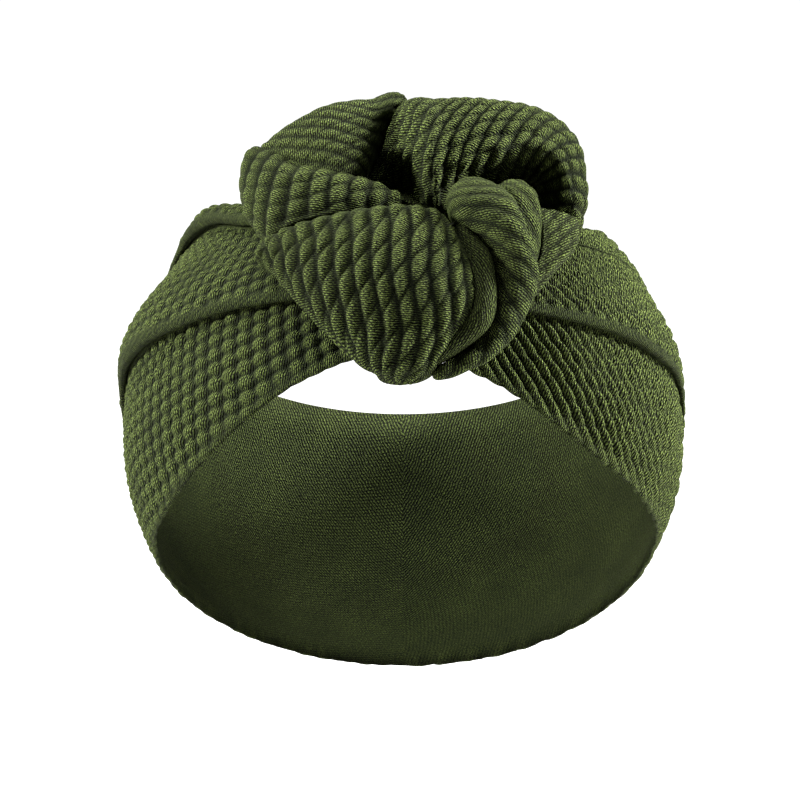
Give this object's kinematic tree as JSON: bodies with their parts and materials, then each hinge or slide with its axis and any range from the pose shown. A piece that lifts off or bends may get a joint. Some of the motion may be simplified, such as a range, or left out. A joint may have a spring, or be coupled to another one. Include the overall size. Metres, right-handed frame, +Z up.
{
  "type": "flower headband",
  "caption": "Child's stretch-knit turban headband, worn form: a wide pleated band round an open head hollow, with a large flower of wound fabric folds on its front.",
  "frame": {"origin": "the middle of the head that the band is worn on, which is the head_seat mount", "axes": "+Z up; the wearer faces -Y, so the flower is on the -Y side and leans up and back; +X is the wearer's left"},
  "size_m": [0.131, 0.1536, 0.1427],
  "materials": {
    "knit": "matte raised-stitch knit"
  },
  "bodies": {
    "root": {"band": "knit", "petal_centre": "knit", "petal_front": "knit", "petal_front_roll": "knit", "petal_inner": "knit", "petal_left": "knit", "petal_right": "knit", "petal_top_left": "knit", "petal_top_right": "knit"}
  },
  "joints": []
}
